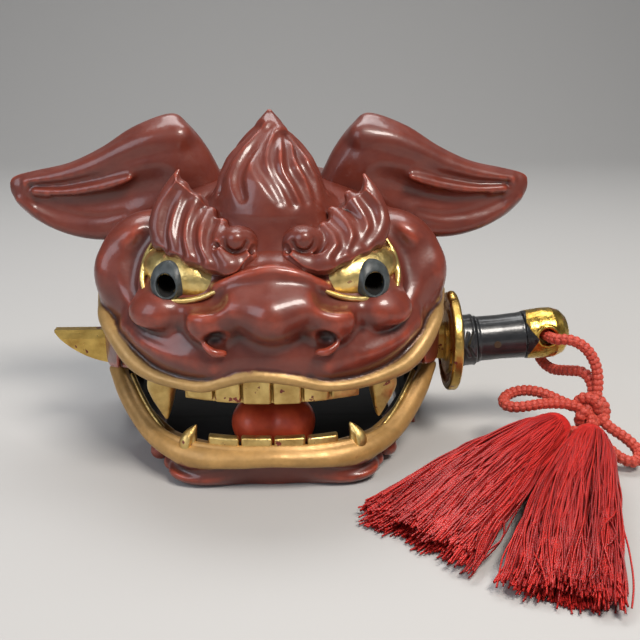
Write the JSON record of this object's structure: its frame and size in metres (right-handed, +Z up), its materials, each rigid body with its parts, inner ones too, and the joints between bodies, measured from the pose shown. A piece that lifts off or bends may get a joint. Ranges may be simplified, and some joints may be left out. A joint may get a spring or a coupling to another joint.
{
  "type": "lion head ornament",
  "caption": "Carved and lacquered guardian-lion head with a hinged jaw, drooping ears and a horn, biting a short sword that has a looped cord and silk tassels.",
  "frame": {"origin": "on the flat sole of the lower jaw, on the middle plane of the head", "axes": "+X towards the sword's hilt, -Y the way the lion faces, +Z up"},
  "size_m": [0.2761, 0.1906, 0.1491],
  "materials": {
    "red_lacquer": "red-brown lacquer on carved wood",
    "gilding": "gold leaf over red bole on carved wood",
    "dark_metal": "dull dark patina",
    "pin_brass": "dull brass",
    "tongue_lacquer": "vermilion lacquer on carved wood",
    "black_lacquer": "black lacquer, satin",
    "bamboo": "smoked bamboo",
    "cord_silk": "braided red silk",
    "tassel_silk": "twisted red silk threads"
  },
  "bodies": {
    "jaw": {"lower_jaw": "red_lacquer", "lower_tooth_row": "gilding", "lower_fang_left": "gilding", "lower_fang_right": "gilding", "side_teeth_left": "gilding", "side_teeth_right": "gilding", "tongue": "tongue_lacquer"},
    "head": {"head_shell": "red_lacquer", "horn_flame": "red_lacquer", "ear_left": "red_lacquer", "ear_right": "red_lacquer", "brow_left": "red_lacquer", "brow_right": "red_lacquer", "eye_plate_left": "gilding", "eye_plate_right": "gilding", "pupil_ring_left": "dark_metal", "pupil_ring_right": "dark_metal", "upper_tooth_row": "gilding", "upper_fang_left": "gilding", "upper_fang_right": "gilding", "hinge_pin_left": "pin_brass", "hinge_pin_right": "pin_brass"},
    "sword": {"blade": "gilding", "guard_washer": "gilding", "sword_guard": "gilding", "hilt_collar": "black_lacquer", "grip": "black_lacquer", "grip_peg": "bamboo", "pommel": "gilding", "cord_left": "cord_silk", "cord_right": "cord_silk", "cord_knot": "cord_silk", "tassel_head_left": "tassel_silk", "tassel_head_right": "tassel_silk", "tassel_skirt_left": "tassel_silk", "tassel_skirt_right": "tassel_silk"}
  },
  "joints": [
    {"name": "jaw_hinge", "type": "hinge", "parent": "jaw", "child": "head", "pos_m": [0, 0.038, 0.03], "axis": [-1, 0, 0], "range_deg": [0, 20]},
    {"name": "sword_draw", "type": "slide", "parent": "jaw", "child": "sword", "axis": [1, 0, 0], "range_m": [0, 0.18]}
  ]
}
